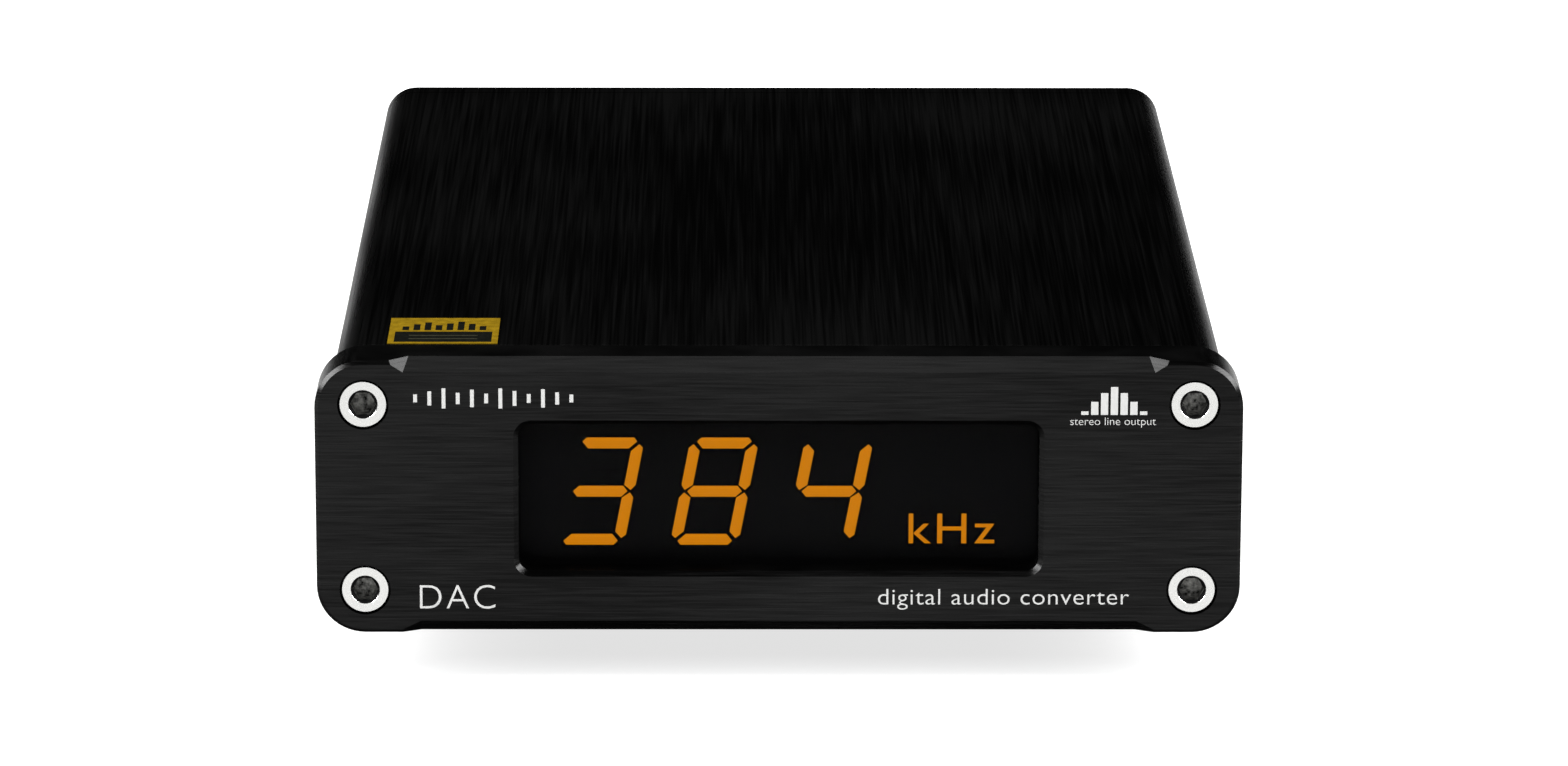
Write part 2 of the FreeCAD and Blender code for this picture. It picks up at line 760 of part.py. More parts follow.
def segments(name, chosen):
    """Some segments of each digit as thin solids set into the display's face."""
    holder = body(name + "_body")
    holder.AllowCompound = True
    drawing = Drawing(holder, name, "XZ_Plane", "-(display_y)")
    for place_index, letters in enumerate(chosen):
        for letter in letters:
            points = []
            for u, v in segment_points(letter):
                x = term("digit_left + %d * digit_pitch" % place_index, u,
                         "(%s) * tan(digit_slant * 1 deg)" % v)
                points.append((x, term("digit_z", v)))
            drawing.outline(points)
    pad(holder, drawing, "segment_depth", reverse=True)
    return holder


def display():
    """The LED module with its lit and unlit segments and legend, and the board that carries it."""
    lit = segments("lit", LIT)
    unlit = segments("unlit", ["".join(s for s in ALL_SEGMENTS if s not in on) for on in LIT])
    legend = box("legend", ("legend_left_x", "legend_right_x"), ("display_y", "display_y + legend_depth"),
                 ("bottom_z + legend_low", "bottom_z + legend_high"))
    block = box("display_block", around(0, "display_width"),
                ("display_y", "display_y + display_depth"), around("window_z", "display_height"))
    node("display_body", cut("display_shell", block, lit, unlit, legend))
    node("lit_segments", lit)
    node("unlit_segments", unlit)
    node("legend_light_guide", legend)
    board = box("display_board_plate", around(0, "display_board_width"),
                ("display_board_y", "display_board_y + board_thickness"),
                around("window_z", "display_board_height"))
    node("display_board", board)
    back = "display_board_y + board_thickness"
    chip = box("driver", around(0, "driver_width"), (back, back + " + driver_depth"),
               ("window_z + 1", "window_z + 1 + driver_height"))
    node("display_driver_chip", chip)
    front = "board_front_y + 1"
    housing = box("header_block", around(0, "header_width"), (front, front + " + header_depth"),
                  ("deck_z", "deck_z + header_depth"))
    pins = [box("header_pin_%d" % i, around("(%d - 3.5) * header_pitch" % i, "header_pin"), (back, front),
                ("deck_z + header_pin_rise", "deck_z + header_pin_rise + header_pin")) for i in range(8)]
    node("display_header", join("header", housing, *pins))


# ---------------------------------------------------------------- ports

def pin_places():
    """The solder pins that pass through the main board, by port, as (x, y) expressions."""
    phono = [(x, "shell_rear_y - %s" % back) for x in ("phono_left_x", "phono_right_x", "phono_coax_x")
             for back in (4, 9)]
    optical = [("optical_x + %s" % dx, "port_y - optical_depth - 1") for dx in (-2.54, 0, 2.54)]
    usb = [("usb_x + %s" % dx, "port_y - %s" % back) for back, dx in
           ((12.5, -1.25), (12.5, 1.25), (14.5, -1.25), (14.5, 1.25))]
    return {"phono": phono, "optical": optical, "usb": usb}


def solder_pins(name, places):
    """Round pins from the underside of a part, down through the board."""
    return [rod("%s_%d" % (name, i), "z", (x, y, "board_z - pin_reach"), "board_thickness + pin_reach",
                "pin_radius") for i, (x, y) in enumerate(places)]


def main_board():
    """The main board with a hole for every solder pin."""
    plate = box("board_plate", around(0, "board_width"), ("board_front_y", "board_rear_y"),
                ("board_z", "deck_z"))
    holes = []
    for port, places in pin_places().items():
        for index, (x, y) in enumerate(places):
            holes.append(rod("hole_%s_%d" % (port, index), "z", (x, y, "board_z - cut_margin"),
                             "board_thickness + 2 * cut_margin", "pin_hole"))
    node("main_board", cut("board", plate, *holes))


def phono_socket(name, x):
    """A phono socket: body on the board, plated sleeve, coloured insulator and centre contact."""
    face = "shell_rear_y - socket_body_gap"
    root = "shell_rear_y - sleeve_root"
    tip = "overall_depth / 2"
    through = "sleeve_root + rear_thickness + 20"
    fit = "0.05"
    base = "0.8"
    block = box(name + "_block", around(x, "socket_body_width"), (face + " - socket_body_depth", face),
                ("deck_z", "deck_z + socket_body_height"))
    well = rod(name + "_well", "y", (x, root, "phono_z"), "sleeve_root", "sleeve_radius + " + fit)
    node(name + "_housing", cut(name + "_body", block, well))
    barrel = rod(name + "_barrel", "y", (x, root, "phono_z"), less(tip, root), "sleeve_radius")
    collar = rod(name + "_collar", "y", (x, "rear_face_y + 0.1", "phono_z"), "sleeve_collar_depth",
                 "sleeve_collar")
    inside = rod(name + "_inside", "y", (x, term(root, base), "phono_z"), through,
                 "sleeve_radius - sleeve_wall")
    rim = DOC.addObject("Part::Chamfer", name + "_rim")
    rim.Base = barrel
    DOC.recompute()
    outer = [i + 1 for i, edge in enumerate(barrel.Shape.Edges) if edge.BoundBox.YMin > number(tip) - 1e-3]
    rim.Edges = [(i, SIZES["sleeve_tip"], SIZES["sleeve_tip"]) for i in outer]
    node(name + "_sleeve", cut(name + "_sleeve_solid", join(name + "_sleeve_blank", rim, collar), inside))
    plug = rod(name + "_plug", "y", (x, term(root, base), "phono_z"), less(tip + " - 0.5", term(root, base)),
               "sleeve_radius - sleeve_wall - " + fit)
    core_y = term(root, "2")
    core = rod(name + "_core", "y", (x, core_y, "phono_z"), through, "centre_tube + " + fit)
    node(name + "_insulator", cut(name + "_ring", plug, core))
    tube = rod(name + "_tube", "y", (x, core_y, "phono_z"), less(tip + " - 0.7", core_y), "centre_tube")
    bore = rod(name + "_bore", "y", (x, "rear_face_y + 0.2", "phono_z"), through, "centre_bore")
    node(name + "_contact", cut(name + "_contact_solid", tube, bore))


def usb_port():
    """The USB-B port: folded metal shell, insulator with its tongue, and four contacts."""
    low_y = "port_y - usb_depth"
    outside = box("usb_outside", around("usb_x", "usb_width"), (low_y, "port_y"),
                  ("deck_z", "deck_z + usb_height"))
    inside = box("usb_inside", around("usb_x", "usb_width - 2 * usb_wall"),
                 (low_y + " + usb_wall", "port_y + cut_margin"),
                 ("deck_z + usb_wall", "deck_z + usb_height - usb_wall"))
    node("usb_port_shell", cut("usb_shell", outside, inside))
    holder = body("usb_core")
    middle = "deck_z + usb_height / 2"
    block = Drawing(holder, "usb_block", "XZ_Plane", "-(%s + usb_wall)" % low_y)
    block.rectangle(around("usb_x", "usb_width - 2 * usb_wall"),
                    ("deck_z + usb_wall", "deck_z + usb_height - usb_wall"))
    pad(holder, block, "usb_depth - usb_wall - usb_face_drop", reverse=True)
    mouth = Drawing(holder, "usb_mouth", "XZ_Plane", "-(port_y - usb_face_drop)")
    half = "usb_plug_width / 2"
    low, high = around(middle, "usb_plug_height")
    mouth.outline([("usb_x - " + half, low), ("usb_x + " + half, low),
                   ("usb_x + " + half, high + " - usb_plug_corner"),
                   ("usb_x + %s - usb_plug_corner" % half, high),
                   ("usb_x - %s + usb_plug_corner" % half, high),
                   ("usb_x - " + half, high + " - usb_plug_corner")])
    pocket(holder, mouth, "usb_plug_depth", along=True)
    floor_y = "port_y - usb_face_drop - usb_plug_depth"
    tongue = Drawing(holder, "usb_tongue", "XZ_Plane", "-(%s)" % floor_y)
    tongue.rectangle(around("usb_x", "usb_tongue_width"), around(middle, "usb_tongue_height"))
    pad(holder, tongue, "usb_plug_depth - usb_tongue_drop", reverse=True)
    node("usb_port_insulator", holder)
    strips = []
    for index, (side, level) in enumerate(((-1, 1), (1, 1), (-1, -1), (1, -1))):
        surface = "%s + %d * usb_tongue_height / 2" % (middle, level)
        beyond = "%s + %d * usb_strip_thickness" % (surface, level)
        span = (surface, beyond) if level > 0 else (beyond, surface)
        strips.append(box("usb_strip_%d" % index,
                          around("usb_x + %d * usb_strip_reach" % side, "usb_strip_width"),
                          (floor_y, "port_y - 2"), span))
    node("usb_port_contacts", group("usb_strips", *strips))


def optical_port():
    """The optical input: housing, shutter door on trunnions, its spring, and the receiver behind."""
    low_y = "port_y - optical_depth"
    high_z = "deck_z + optical_height"
    block = box("optical_block", around("optical_x", "optical_width"), (low_y, "port_y"), ("deck_z", high_z))
    cavity = box("optical_cavity", around("optical_x", "optical_width - 2 * optical_wall"),
                 (low_y + " + optical_back", "port_y - optical_lip"),
                 ("deck_z + optical_floor", high_z + " - optical_roof"))
    mouth = box("optical_mouth", around("optical_x", "optical_mouth_width"),
                ("port_y - cut_margin", "port_y + cut_margin"),
                ("deck_z + optical_sill", "door_axis_z - door_thickness"))
    pivot = rod("optical_pivot", "x", ("optical_x - optical_width / 2 - cut_margin", "door_axis_y",
                                       "door_axis_z"), "optical_width + 2 * cut_margin", "trunnion_hole")
    eye = rod("optical_eye", "y", ("optical_x", low_y + " - cut_margin", "deck_z + optical_lens_rise"),
              "optical_back + 2 * cut_margin", "optical_lens_hole")
    node("optical_port_housing", cut("optical_shell", block, cavity, mouth, pivot, eye))
    leaf = box("door_leaf", around("optical_x", "2 * door_half_width"),
               around("door_axis_y", "door_thickness"), ("door_axis_z - door_length", "door_axis_z"))
    notch_x = "optical_x + door_notch_x"
    notch = box("door_notch", (notch_x, notch_x + " + door_notch_width"),
                around("door_axis_y", "4 * door_thickness"),
                ("door_axis_z - door_notch_drop", "door_axis_z + door_notch_drop"))
    barrel = rod("door_barrel", "x", ("optical_x - trunnion_reach", "door_axis_y", "door_axis_z"),
                 "2 * trunnion_reach", "door_thickness / 2")
    node("optical_port_door", join("door", cut("door_plate", leaf, notch), barrel))
    helix = DOC.addObject("Part::Helix", "spring_path")
    helix.setExpression("Pitch", link("spring_pitch"))
    helix.setExpression("Height", link("spring_pitch * spring_turns"))
    helix.setExpression("Radius", link("spring_coil"))
    coil_x = "%s + (door_notch_width - spring_pitch * spring_turns) / 2" % notch_x
    place(helix, coil_x, "door_axis_y", "door_axis_z", axis="x")
    DOC.recompute()
    start = helix.Shape.Vertexes[0].Point
    ring = DOC.addObject("Part::Circle", "spring_section")
    ring.setExpression("Radius", link("spring_wire"))
    first = helix.Shape.Edges[0]
    direction = first.tangentAt(first.FirstParameter)
    ring.Placement = FreeCAD.Placement(start, FreeCAD.Rotation(FreeCAD.Vector(0, 0, 1), direction))
    coil = DOC.addObject("Part::Sweep", "spring_coil_solid")
    coil.Sections = [ring]
    coil.Spine = (helix, ["Edge%d" % (i + 1) for i in range(len(helix.Shape.Edges))])
    coil.Solid = True
    coil.Frenet = True
    node("optical_port_door_spring", coil)
    receiver = box("receiver_block", around("optical_x", "receiver_width"),
                   (low_y + " - receiver_depth", low_y), ("deck_z + 0.5", "deck_z + 9"))
    dome = rod("receiver_dome", "y", ("optical_x", low_y, "deck_z + optical_lens_rise"),
               "optical_back - 0.5", "optical_lens")
    node("optical_port_receiver", join("receiver", receiver, dome))


def pins():
    """The ports' solder pins, one node for each kind of port."""
    places = pin_places()
    node("phono_solder_pins", group("phono_pins", *solder_pins("phono_pin", places["phono"])))
    node("usb_solder_pins", group("usb_pins", *solder_pins("usb_pin", places["usb"])))
    optical = [rod("optical_pin_%d" % i, "z", (x, y, "board_z - pin_reach"),
                   "board_thickness + pin_reach + 0.5", "pin_radius")
               for i, (x, y) in enumerate(places["optical"])]
    node("optical_solder_pins", group("optical_pins", *optical))


# ---------------------------------------------------------------- parts on the main board

def lead_row(name, x, y, count, pitch, along, width):
    """A row of short leads centred at (x, y), each lying across the row on the board."""
    leads = []
    for index in range(count):
        shift = (index - (count - 1) / 2) * pitch
        at_x, at_y = (x + shift, y) if along == "x" else (x, y + shift)
        span_x, span_y = (width, LEAD_LENGTH) if along == "x" else (LEAD_LENGTH, width)
        leads.append(box("%s_%d" % (name, index), around(at_x, span_x), around(at_y, span_y),
                         ("deck_z", "deck_z + %s" % LEAD_HEIGHT)))
    return leads


def on_board(name, x, y, width, depth, height, rise=0.0):
    """A block standing on the board, or held a little above it by its leads."""
    return box(name, around(x, width), around(y, depth),
               ("deck_z + %s" % rise, "deck_z + %s" % (rise + height)))


def blocks(label, places, size):
    """A node of equal blocks on the board."""
    node(label, group(label + "_group", *[on_board("%s_%d" % (label, i), x, y, *size)
                                          for i, (x, y) in enumerate(places)]))


def grid(corner, columns, rows):
    """Places on the small parts' pitch, from a corner."""
    return [(corner[0] + CHIP_PITCH * column, corner[1] + CHIP_PITCH * row)
            for row in range(rows) for column in range(columns)]


def chips():
    """The moulded chips, their leads, and the op-amp in its socket."""
    stand = 0.1
    node("usb_receiver_chip", on_board("usb_chip", *USB_CHIP, stand))
    leads = []
    usb_x, usb_y, usb_side = USB_CHIP[:3]
    reach = (usb_side + LEAD_LENGTH) / 2
    for side in (-1, 1):
        leads += lead_row("usb_lead_x%d" % (side + 1), usb_x + side * reach, usb_y, 10, 1.0, "y", 0.3)
        leads += lead_row("usb_lead_y%d" % (side + 1), usb_x, usb_y + side * reach, 10, 1.0, "x", 0.3)
    node("usb_receiver_leads", group("usb_leads", *leads))
    node("dac_chip", on_board("dac_package", *DAC_CHIP, stand))
    dac_x, dac_y, _, dac_depth, _ = DAC_CHIP
    rows = []
    for side in (-1, 1):
        row_y = dac_y + side * (dac_depth + LEAD_LENGTH) / 2
        rows += lead_row("dac_lead_%d" % (side + 1), dac_x, row_y, 14, 0.65, "x", 0.25)
    node("dac_chip_leads", group("dac_leads", *rows))
    node("flash_memory_chip", on_board("flash", *FLASH_CHIP))
    node("op_amp_socket", on_board("amp_socket", *AMP_SOCKET))
    amp_x, amp_y, socket_height = AMP_SOCKET[0], AMP_SOCKET[1], AMP_SOCKET[4]
    node("op_amp", on_board("amp_package", amp_x, amp_y, *AMP_SIZE, socket_height))


def passives():
    """The capacitors, coils, regulators, oscillators and small parts."""
    blocks("capacitor_bases", CAN_PLACES, (CAN_BASE, CAN_BASE, CAN_BASE_HEIGHT))
    cans = [rod("can_%d" % i, "z", (x, y, "deck_z + %s" % CAN_BASE_HEIGHT), CAN_HEIGHT, CAN_RADIUS)
            for i, (x, y) in enumerate(CAN_PLACES)]
    node("electrolytic_capacitors", group("cans", *cans))
    blocks("film_capacitors", FILM_PLACES, FILM_SIZE)
    blocks("power_inductors", COIL_PLACES, COIL_SIZE)
    blocks("voltage_regulators", REGULATOR_PLACES, REGULATOR_SIZE)
    blocks("clock_oscillators", CRYSTAL_PLACES, CRYSTAL_SIZE)
    blocks("chip_resistors", grid(RESISTOR_CORNER, 6, 2), RESISTOR_SIZE)
    blocks("chip_capacitors", grid(CHIP_CAPACITOR_CORNER, 6, 2), CHIP_CAPACITOR_SIZE)


def top_label():
    """The foil label on the top, near the front left corner."""
    label = box("label_foil", ("label_left_x", "label_right_x"),
                ("panel_rear_y + label_front", "panel_rear_y + label_rear"),
                ("top_z", "top_z + label_thickness"))
    node("top_label", label)


def check_and_export():
    """Stops on any broken object, then writes one STEP file for each node."""
    DOC.recompute()
    for item in DOC.Objects:
        if "Invalid" in item.State or "Error" in item.State:
            raise RuntimeError("%s is %s" % (item.Name, item.State))
    os.makedirs("parts", exist_ok=True)
    for item in NODES:
        shape = item.Shape
        if shape.isNull() or not shape.isValid() or not shape.Solids:
            raise RuntimeError("%s has no valid solid" % item.Label)
        shape.exportStep("parts/%s.step" % item.Label)


case_shell()
front_panel()
rear_panel()
screws()
feet()
window_parts()
display()
main_board()
for socket_name, socket_x in (("line_out_left", "phono_left_x"), ("line_out_right", "phono_right_x"),
                              ("coax_in", "phono_coax_x")):
    phono_socket(socket_name, socket_x)
usb_port()
optical_port()
pins()
chips()
passives()
top_label()
check_and_export()
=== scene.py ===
import json
import math

import bmesh
import bpy
from mathutils import Matrix, Vector


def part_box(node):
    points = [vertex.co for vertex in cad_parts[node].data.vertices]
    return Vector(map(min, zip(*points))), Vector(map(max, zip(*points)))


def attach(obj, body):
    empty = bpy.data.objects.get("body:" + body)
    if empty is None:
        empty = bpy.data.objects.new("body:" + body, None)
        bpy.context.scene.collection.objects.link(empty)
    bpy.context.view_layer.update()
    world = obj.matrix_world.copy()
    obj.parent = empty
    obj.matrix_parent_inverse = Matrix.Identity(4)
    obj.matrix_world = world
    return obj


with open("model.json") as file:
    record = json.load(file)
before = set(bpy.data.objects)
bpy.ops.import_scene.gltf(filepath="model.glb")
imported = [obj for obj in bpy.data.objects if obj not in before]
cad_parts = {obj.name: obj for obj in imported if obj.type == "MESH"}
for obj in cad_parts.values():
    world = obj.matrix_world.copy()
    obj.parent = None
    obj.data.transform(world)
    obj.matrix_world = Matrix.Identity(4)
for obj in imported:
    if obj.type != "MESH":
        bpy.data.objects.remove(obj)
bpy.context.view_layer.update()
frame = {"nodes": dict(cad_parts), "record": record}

MM = 0.001
ROOT = "root"

# The screws' places, their socket mouths and their heads' faces, in millimetres.
SCREW_X, SCREW_Z, SCREW_RISE = 46.1, 21.3, 10.7
SOCKET_MOUTH, SOCKET_LIP, SOCKET_CONE = 1.66, 0.03, 0.42
FRONT_HEAD_Y, REAR_HEAD_Y = 72.8, 64.7
SOCKET_DULLNESS = 0.4

# The lit segments and the smoked lens over them.
LIT_BASE = (0.10, 0.035, 0.001)
LIT_COLOUR = (1.0, 0.335, 0.001)
LIT_STRENGTH = 1.12
LENS_ALPHA = 0.3
LENS_SPECULAR = 0.035

# Printed marks: how deep they reach into the face, how far they stand proud of it.
SUNK, PROUD, LABEL_SUNK, LABEL_PROUD = 0.03, 0.015, 0.02, 0.004

# The studio: what of the floor's white only the camera sees, and the room's faint light.
FLOOR_SIZE = 6.0
FLOOR_GREY = 0.38
FLOOR_FILL = 0.75
ROOM_GREY = 0.004

# The camera, in metres and degrees.
EYE = (-0.0055, -0.8421, 0.2412)
PITCH, YAW, ROLL = 15.04, -0.45, -0.15
LENS_LENGTH, SENSOR_WIDTH = 165.2, 36.0


# ------------------------------------------------------------ materials

def socket(node, name):
    """An input by name. A Mix node has several of one name, so it takes its enabled one."""
    return next(s for s in node.inputs if s.name == name and s.enabled)


class Finish:
    """A Principled material whose colour, roughness and bump come from noise at a real scale."""

    def __init__(self, name, roughness=0.5, metallic=0.0, specular=0.5):
        self.material = bpy.data.materials.new(name)
        self.material.use_nodes = True
        self.tree = self.material.node_tree
        self.shader = next(n for n in self.tree.nodes if n.type == "BSDF_PRINCIPLED")
        self.shader.inputs["Roughness"].default_value = roughness
        self.shader.inputs["Metallic"].default_value = metallic
        self.shader.inputs["Specular IOR Level"].default_value = specular
        self.place = self.add("ShaderNodeTexCoord").outputs["Object"]

    def add(self, kind, **settings):
        node = self.tree.nodes.new(kind)
        for key, value in settings.items():
            setattr(node, key, value)
        return node

    def join(self, output, target):
        self.tree.links.new(output, target)

    def noise(self, pitch, detail=3.0):
        """Noise whose features are pitch = (x, y, z) millimetres across."""
        mapping = self.add("ShaderNodeMapping")
        mapping.inputs["Scale"].default_value = [1.0 / (size * MM) for size in pitch]
        self.join(self.place, mapping.inputs["Vector"])
        noise = self.add("ShaderNodeTexNoise")
        noise.inputs["Scale"].default_value = 1.0
        noise.inputs["Detail"].default_value = detail
        self.join(mapping.outputs["Vector"], noise.inputs["Vector"])
        return noise.outputs["Fac"]

    def math(self, operation, first, second=None):
        """Arithmetic on sockets and numbers."""
        node = self.add("ShaderNodeMath", operation=operation)
        for value, target in zip((first, second), node.inputs):
            if isinstance(value, bpy.types.NodeSocket):
                self.join(value, target)
            elif value is not None:
                target.default_value = value
        return node.outputs["Value"]

    def spread(self, factor, low, high, span=(0.3, 0.7)):
        """Noise mapped to a range."""
        node = self.add("ShaderNodeMapRange")
        for key, value in zip(("From Min", "From Max", "To Min", "To Max"), (*span, low, high)):
            node.inputs[key].default_value = value
        self.join(factor, node.inputs["Value"])
        return node.outputs["Result"]

    def colour(self, factor, dark, light):
        """Noise mixed between two colours, on the base colour."""
        node = self.add("ShaderNodeMix", data_type="RGBA")
        socket(node, "A").default_value = (*dark, 1.0)
        socket(node, "B").default_value = (*light, 1.0)
        self.join(self.spread(factor, 0.0, 1.0), socket(node, "Factor"))
        output = next(s for s in node.outputs if s.enabled)
        self.join(output, self.shader.inputs["Base Color"])
        return output

    def rough(self, factor, low, high):
        self.join(self.spread(factor, low, high), self.shader.inputs["Roughness"])

    def bump(self, factor, depth, strength=1.0):
        """Relief of a depth in millimetres."""
        node = self.add("ShaderNodeBump")
        node.inputs["Distance"].default_value = depth * MM
        node.inputs["Strength"].default_value = strength
        self.join(factor, node.inputs["Height"])
        self.join(node.outputs["Normal"], self.shader.inputs["Normal"])


def scaled(colour, share):
    return tuple(c * share for c in colour)


def surface(name, colour, roughness, metallic=0.0, specular=0.5, pitch=(0.6, 0.6, 0.6), shade=0.12,
            rough_spread=0.06, relief=0.01, detail=3.0):
    """A finish with one grain driving its colour, roughness and bump."""
    finish = Finish(name, roughness, metallic, specular)
    grain = finish.noise(pitch, detail)
    finish.colour(grain, scaled(colour, 1 - shade), scaled(colour, 1 + shade))
    finish.rough(grain, roughness - rough_spread, roughness + rough_spread)
    finish.bump(grain, relief)
    return finish


def brushed_black(name, streak, dark, light, rough):
    """Black anodising over brushed aluminium: a very dark metal, fine long streaks over a slow mottle."""
    finish = Finish(name, rough[0], 0.93, 0.1)
    finish.shader.inputs["Specular Tint"].default_value = (0.38, 0.38, 0.38, 1.0)
    fine = finish.noise(streak, 2.0)
    slow = finish.spread(finish.noise((40, 40, 25), 1.0), -0.12, 0.12)
    both = finish.math("ADD", fine, slow)
    finish.colour(both, dark, light)
    finish.rough(both, *rough)
    finish.bump(fine, 0.004, 0.6)
    return finish


def blend_colours(finish, factor, first, second):
    """A mix of two colours or colour sockets by a factor socket."""
    mix = finish.add("ShaderNodeMix", data_type="RGBA")
    for name, value in (("A", first), ("B", second)):
        if isinstance(value, bpy.types.NodeSocket):
            finish.join(value, socket(mix, name))
        else:
            socket(mix, name).default_value = (*value, 1.0)
    finish.join(factor, socket(mix, "Factor"))
    return next(s for s in mix.outputs if s.enabled)


def screw_socket_shade_masks(finish):
    """Two masks for painted shade: inside a screw's hexagon socket below its lip, and deeper than its mouth
    cone.
    """
    split = finish.add("ShaderNodeSeparateXYZ")
    finish.join(finish.add("ShaderNodeNewGeometry").outputs["Position"], split.inputs["Vector"])
    x, y, z = (split.outputs[axis] for axis in "XYZ")
    across = finish.math("SUBTRACT", finish.math("ABSOLUTE", x), SCREW_X * MM)
    height = finish.math("SUBTRACT", z, SCREW_Z * MM)
    height = finish.math("SUBTRACT", finish.math("ABSOLUTE", height), SCREW_RISE * MM)
    squares = finish.math("ADD", finish.math("MULTIPLY", across, across),
                          finish.math("MULTIPLY", height, height))
    radius = finish.math("SQRT", squares)
    depth = finish.math("MINIMUM", finish.math("ADD", y, FRONT_HEAD_Y * MM),
                        finish.math("SUBTRACT", REAR_HEAD_Y * MM, y))
    below = finish.math("GREATER_THAN", depth, SOCKET_LIP * MM)
    inside = finish.math("LESS_THAN", radius, SOCKET_MOUTH * MM)
    deep = finish.math("GREATER_THAN", depth, SOCKET_CONE * MM)
    return finish.math("MULTIPLY", below, inside), deep


def screw_finish():
    """Bright nickel, with painted shade down inside each hexagon socket: near black, flecked lighter deeper
    than its mouth cone, and rougher.
    """
    finish = surface("screw_nickel", (0.68, 0.68, 0.665), 0.24, 1.0, pitch=(0.25, 0.25, 0.25), shade=0.06,
                     rough_spread=0.06, relief=0.004)
    base = finish.shader.inputs["Base Color"]
    bright = base.links[0].from_socket
    mask, deep = screw_socket_shade_masks(finish)
    grain = finish.spread(finish.noise((0.45, 0.45, 0.45), 4.0), 0.0, 1.0)
    # Painted shade: the socket's inside is coloured near black, with lighter flecks deeper than its mouth
    # cone.
    socket_shade_grain = finish.math("MULTIPLY", grain, deep)
    painted_socket_shade = blend_colours(finish, socket_shade_grain, (0.008, 0.008, 0.008), (0.4, 0.4, 0.38))
    finish.join(blend_colours(finish, mask, bright, painted_socket_shade), base)
    rough = finish.shader.inputs["Roughness"]
    duller = finish.math("MULTIPLY", mask, SOCKET_DULLNESS)
    finish.join(finish.math("ADD", rough.links[0].from_socket, duller), rough)
    return finish


def foil_finish():
    """Gold foil that stays gold at a low angle."""
    finish = surface("gold_foil", (0.235, 0.145, 0.0065), 0.36, 0.6, specular=0.15, pitch=(0.9, 0.9, 0.9),
                     shade=0.14, relief=0.006)
    finish.shader.inputs["Specular Tint"].default_value = (0.3, 0.25, 0.1, 1.0)
    return finish


def lit_finish():
    """The display's glowing orange plastic."""
    finish = surface("lit_segment", LIT_BASE, 0.5, specular=0.2, pitch=(0.5, 0.5, 0.5), relief=0.002)
    finish.shader.inputs["Emission Color"].default_value = (*LIT_COLOUR, 1.0)
    finish.shader.inputs["Emission Strength"].default_value = LIT_STRENGTH
    return finish


def lens_finish():
    """The thin smoked window."""
    finish = surface("smoked_lens", (0.002, 0.002, 0.0022), 0.08, specular=LENS_SPECULAR, pitch=(9, 9, 9),
                     rough_spread=0.03, relief=0.0005)
    finish.shader.inputs["Alpha"].default_value = LENS_ALPHA
    return finish


